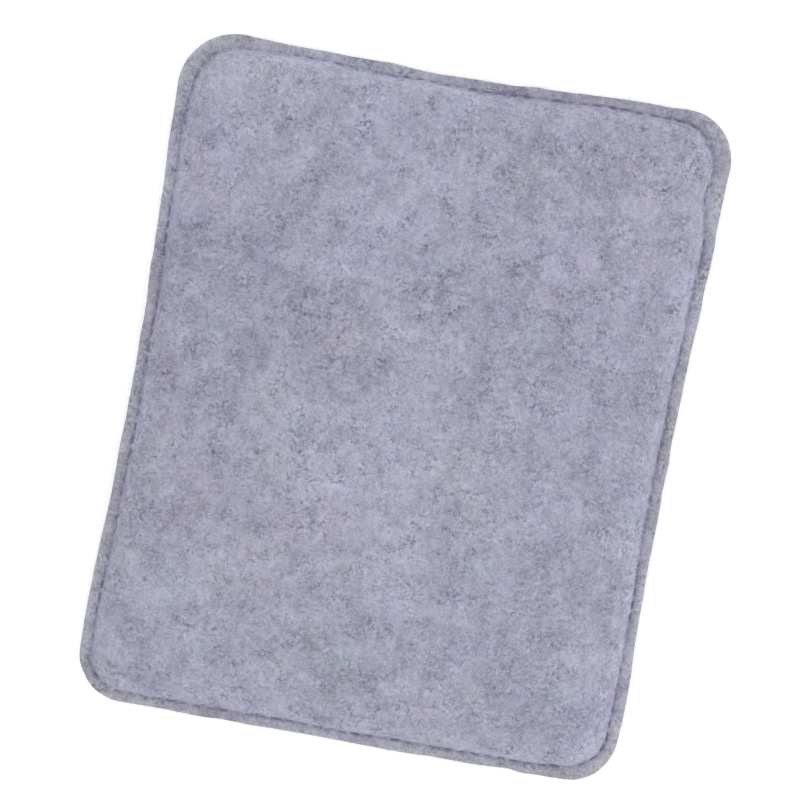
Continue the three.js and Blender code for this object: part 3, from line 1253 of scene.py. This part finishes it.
def felt_material(look):
    """Soft matte felt with a faint sheen from its raised fibres, paler and less blue at the rim: the less
    blue tint is the felt's own, and the paleness is partly the felt's own and partly painted light that lifts
    the shade on the rim.
    """
    material, w, shader = new_material(
        "Needled felt", Specular_IOR_Level=0.15, Sheen_Weight=0.15, Sheen_Roughness=0.5
    )
    felt = w.add(
        "ShaderNodeGroup",
        {"node_tree": melange_group()},
        Vector=w.spot(),
        Felt=look.felt,
        Dark_fibre=look.dark_fibre,
        Pale_fibre=look.pale_fibre,
    ).outputs
    rim_tinted_and_lit = w.blend(w.attribute("rim"), felt["Color"], RIM_TINT_AND_LIGHT, "MULTIPLY")
    w.join(shader["Base Color"], rim_tinted_and_lit)
    w.join(shader["Roughness"], felt["Roughness"])
    w.join(shader["Normal"], w.bump(felt["Height"], strength=0.6, distance=0.5 * MM))
    return material


def fibre_material(look):
    """Single fibres of the felt, each between dark and pale by its own tone, uneven along it."""
    unevenness, least_roughness, tone_roughness = 0.5, 0.65, 0.1
    material, w, shader = new_material("Loose fibre", Specular_IOR_Level=0.2)
    noise = w.off_middle(w.noise(w.spot(), scale=900.0))
    tone = w.math("MULTIPLY_ADD", noise, unevenness, w.attribute("tone"))
    w.join(shader["Base Color"], w.blend(tone, look.dark_fibre, look.pale_fibre))
    w.join(shader["Roughness"], w.math("MULTIPLY_ADD", tone, tone_roughness, least_roughness))
    return material


def foam_material(look):
    """Open-cell foam: small round cells that sink into the surface, with painted shade that is darkest at
    their middles.
    """
    cell_shade = 0.7
    material, w, shader = new_material("Open-cell foam", Roughness=0.95, Specular_IOR_Level=0.2)
    cells = w.add("ShaderNodeTexVoronoi", Vector=w.spot(), Scale=900.0).outputs["Distance"]
    cell_wall = w.ramp(cells, low=0.1, high=0.55)
    # Painted shade: each cell darkens towards its sunken middle
    shade = w.math("MULTIPLY_ADD", cell_wall, 1 - cell_shade, cell_shade)
    w.join(shader["Base Color"], w.shaded(look.foam, shade))
    w.join(shader["Normal"], w.bump(cell_wall, strength=0.5, distance=0.4 * MM))
    return material


def thread_material(look):
    """Twisted spun thread with fine pale and dark filaments and slow patches."""
    filament_share, patch_share, base = 0.7, 0.5, 0.4
    material, w, shader = new_material(
        "Seam thread", Roughness=0.7, Specular_IOR_Level=0.3, Sheen_Weight=0.2
    )
    spot = w.spot()
    filament = w.noise(spot, scale=4200.0, detail=2.0, roughness=0.6)
    patch = w.noise(spot, scale=240.0, detail=2.0, roughness=0.6)
    shade = w.math("MULTIPLY_ADD", patch, patch_share, base)
    shade = w.math("MULTIPLY_ADD", filament, filament_share, shade)
    w.join(shader["Base Color"], w.shaded(look.thread, shade))
    w.join(shader["Normal"], w.bump(filament, strength=0.4, distance=0.1 * MM))
    return material


# Stage

# Softboxes, all of one size in metres: where each stands, and its power in watts
LAMP_SIZE = 1.0
LAMPS = (
    ("east_lamp", (1.5, 0.0, 0.5), 12.0),
    ("north_lamp", (0.1, 1.5, 0.45), 8.4),
    ("south_lamp", (0.1, -1.5, 0.45), 7.6),
    ("west_lamp", (-1.5, 0.0, 0.5), 5.6),
    ("top_lamp", (-0.5, 0.05, 1.3), 1.65),
)
AMBIENT = 0.55
WHITE = (1, 1, 1, 1)

# The floor's half width, its level, its paper and the glow that keeps it white to the camera
FLOOR_HALF = 4.0
FLOOR_LEVEL = -0.2 * MM
PAPER = (0.82, 0.82, 0.83, 1)
PAPER_GLOW = 0.45

# The camera over the rim's upper face: where it stands and aims, in millimetres, how far it is turned, in
# degrees, and its focal length in pixels of the photograph's frame
CAMERA_SPOT = (4.65, 69.95, 687.7)
CAMERA_AIM = (-1.13, 4.3, 0)
CAMERA_TURN = -10.13
FOCAL_PIXELS = 1900.0
IMAGE_SIZE = 800
SENSOR_WIDTH = 36.0


def seen_directly(w):
    """1 for rays from the camera, also by way of a mirror or glass, and 0 for light that falls on the pad."""
    path = w.add("ShaderNodeLightPath").outputs
    through = w.math("MAXIMUM", path["Is Glossy Ray"], path["Is Transmission Ray"])
    return w.math("MAXIMUM", path["Is Camera Ray"], through)


def floor_material():
    """White paper that stays white to the camera and still takes the pad's shadow."""
    material = bpy.data.materials.new("floor")
    w = empty_wiring(material)
    paper = w.add("ShaderNodeBsdfDiffuse", Color=PAPER)
    strength = w.math("MULTIPLY", seen_directly(w), PAPER_GLOW)
    glow = w.add("ShaderNodeEmission", Color=WHITE, Strength=strength)
    both = w.add("ShaderNodeAddShader")
    w.join(both.inputs[0], paper.outputs[0])
    w.join(both.inputs[1], glow.outputs[0])
    w.add("ShaderNodeOutputMaterial", Surface=both.outputs[0])
    return material


def add_floor():
    """A wide level square of paper under the pad."""
    mesh = bpy.data.meshes.new("floor")
    corners = [(x * FLOOR_HALF, y * FLOOR_HALF, FLOOR_LEVEL) for x, y in CORNER_SIGNS]
    mesh.from_pydata(corners, [], [(0, 1, 2, 3)])
    mesh.materials.append(floor_material())
    floor = new_object("floor", mesh)


def add_world():
    """Even soft light from everywhere, on a background that is white to the camera."""
    world = bpy.data.worlds.new("studio")
    bpy.context.scene.world = world
    w = empty_wiring(world)
    strength = w.math("MULTIPLY_ADD", seen_directly(w), 1 - AMBIENT, AMBIENT)
    background = w.add("ShaderNodeBackground", Color=WHITE, Strength=strength)
    w.add("ShaderNodeOutputWorld", Surface=background.outputs[0])


def add_lamp(name, place, power):
    """A square softbox that faces the pad."""
    data = bpy.data.lights.new(name, "AREA")
    data.size = LAMP_SIZE
    data.energy = power
    lamp = new_object(name, data)
    lamp.location = place
    lamp.rotation_euler = (-Vector(place)).to_track_quat("-Z", "Y").to_euler()


def add_camera(felt):
    """The photograph's view: almost straight down, turned so that the pad leans to the right at its top."""
    rim_top = Vector((0, 0, SEAM_HEIGHT + felt))
    spot = Vector(CAMERA_SPOT) * MM + rim_top
    aim = Vector(CAMERA_AIM) * MM + rim_top
    heading = math.radians(CAMERA_TURN)
    back = (spot - aim).normalized()
    up = Vector((math.sin(heading), math.cos(heading), 0))
    right = up.cross(back).normalized()
    up = back.cross(right)
    data = bpy.data.cameras.new("camera")
    data.sensor_width = SENSOR_WIDTH
    data.lens = SENSOR_WIDTH * FOCAL_PIXELS / IMAGE_SIZE
    camera = new_object("camera", data)
    camera.matrix_world = Matrix.Translation(spot) @ Matrix((right, up, back)).transposed().to_4x4()
    bpy.context.scene.camera = camera


class FELTINGPAD_OT_stage(bpy.types.Operator):
    """Set the floor, the light and the camera"""

    bl_idname = "felting_pad.stage"
    bl_label = "Stage"

    def execute(self, context):
        add_floor()
        add_world()
        for lamp in LAMPS:
            add_lamp(*lamp)
        add_camera(context.scene.felting_pad.cover.felt)
        context.scene.view_settings.view_transform = "Standard"
        return {"FINISHED"}


class FELTINGPAD_PT_panel(bpy.types.Panel):
    """Lists the pad's pieces and sizes"""

    bl_label = "Felting Pad"
    bl_idname = "FELTINGPAD_PT_panel"
    bl_space_type = "VIEW_3D"
    bl_region_type = "UI"
    bl_category = "Felting Pad"

    def draw(self, context):
        settings = context.scene.felting_pad
        for operator in OPERATORS:
            self.layout.operator(operator.bl_idname)
        for group in (settings.cover, settings.seam, settings.look):
            box = self.layout.box()
            for name in group.__annotations__:
                box.prop(group, name)


GROUPS = (CoverShape, SeamShape, FeltLook, PadSettings)
OPERATORS = (
    FELTINGPAD_OT_stage,
    FELTINGPAD_OT_cover,
    FELTINGPAD_OT_foam,
    FELTINGPAD_OT_seam,
    FELTINGPAD_OT_fibres,
)
CLASSES = (*GROUPS, *OPERATORS, FELTINGPAD_PT_panel)


def register():
    """Adds the pad's settings, operators and panel to Blender."""
    for item in CLASSES:
        bpy.utils.register_class(item)
    bpy.types.Scene.felting_pad = PointerProperty(type=PadSettings)


def unregister():
    """Takes them out again."""
    del bpy.types.Scene.felting_pad
    for item in reversed(CLASSES):
        bpy.utils.unregister_class(item)


def main():
    """Builds the whole pad."""
    register()
    bpy.ops.felting_pad.stage()
    bpy.ops.felting_pad.cover()
    bpy.ops.felting_pad.foam()
    bpy.ops.felting_pad.seam()
    bpy.ops.felting_pad.fibres()


if __name__ == "__main__":
    main()
